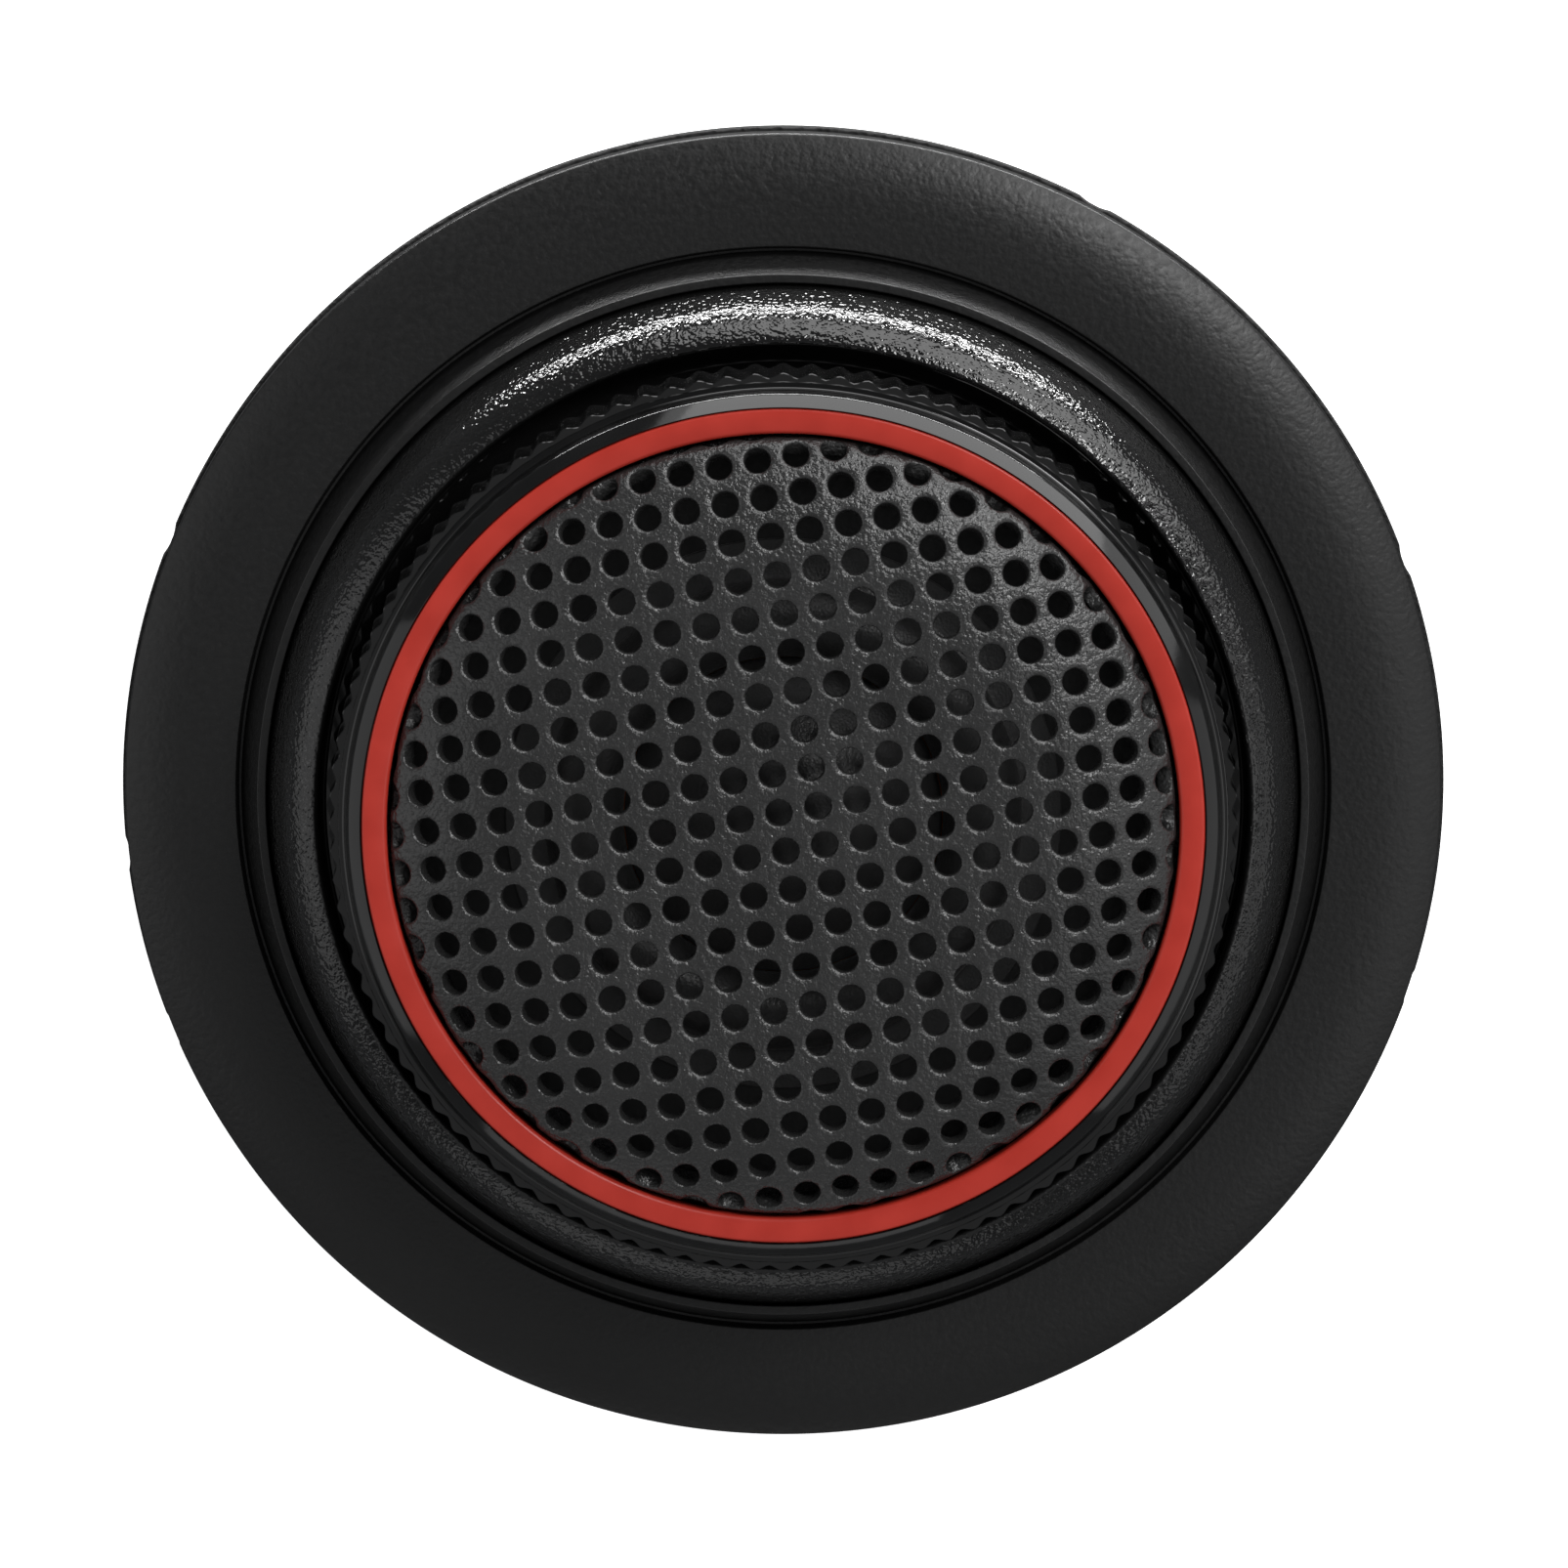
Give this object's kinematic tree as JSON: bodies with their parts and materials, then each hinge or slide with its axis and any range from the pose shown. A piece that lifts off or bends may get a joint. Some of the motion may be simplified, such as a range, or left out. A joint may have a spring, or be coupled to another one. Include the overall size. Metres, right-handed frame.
{
  "type": "car tweeter",
  "caption": "Flush-mount car tweeter: round flange cup with a ball ring that swivels, a knurled twist-in capsule with a red accent ring and domed perforated grille.",
  "frame": {"origin": "centre of the panel face that the gasket seats on, on the barrel's axis", "axes": "+Z along the tweeter's axis towards the listener; X is the first tilt axis, Y the second"},
  "size_m": [0.0544, 0.0544, 0.0321],
  "materials": {
    "cup_plastic": "fine moulded grain, matte",
    "gasket_foam": "closed-cell foam",
    "nylon": "natural nylon, satin",
    "spring_steel": "rolled strip",
    "brass": "turned",
    "rubber": "moulded, dull",
    "bead_gloss": "gloss black with a fine orange-peel texture",
    "bezel_gloss": "gloss black, satin on the teeth",
    "accent_red": "satin red",
    "grille_black": "powder coated, fine texture",
    "silk": "coated woven silk",
    "copper": "enamelled copper",
    "former": "amber film",
    "plated_steel": "zinc plated",
    "magnet_nickel": "nickel plated, satin",
    "felt": "pressed wool felt",
    "board": "phenolic paper board",
    "tinned_brass": "tinned"
  },
  "bodies": {
    "cup": {"mount_cup": "cup_plastic", "panel_gasket": "gasket_foam", "pressure_ring": "nylon", "wave_spring": "spring_steel", "rear_cover": "cup_plastic", "retaining_ring": "spring_steel", "clamp_insert": "brass", "cable_grommet": "rubber"},
    "liner": {"swivel_liner": "nylon"},
    "ball": {"swivel_ball": "bead_gloss"},
    "capsule": {"capsule_body": "cup_plastic", "capsule_o_ring": "rubber", "knurled_bezel": "bezel_gloss", "accent_ring": "accent_red", "grille": "grille_black", "faceplate": "cup_plastic", "surround": "silk", "tinsel_leads": "copper", "yoke": "plated_steel", "magnet": "magnet_nickel", "top_plate": "plated_steel", "damping_felt": "felt", "terminal_board": "board", "terminals": "tinned_brass", "board_screws": "plated_steel"},
    "diaphragm": {"dome": "silk", "coil_former": "former", "voice_coil": "copper"}
  },
  "joints": [
    {"name": "tilt_x", "type": "hinge", "parent": "cup", "child": "liner", "pos_m": [0, 0, -0.002], "axis": [1, 0, 0], "range_deg": [-7, 7]},
    {"name": "tilt_y", "type": "hinge", "parent": "liner", "child": "ball", "pos_m": [0, 0, -0.002], "axis": [0, 1, 0], "range_deg": [-7, 7]},
    {"name": "capsule_twist", "type": "hinge", "parent": "ball", "child": "capsule", "pos_m": [0, 0, 0], "axis": [0, 0, 1], "range_deg": [0, 20]},
    {"name": "diaphragm_travel", "type": "slide", "parent": "capsule", "child": "diaphragm", "axis": [0, 0, 1], "range_m": [-0.0003, 0.0003], "stiffness_N_per_m": 5000, "deforming": ["surround", "tinsel_leads"]}
  ]
}
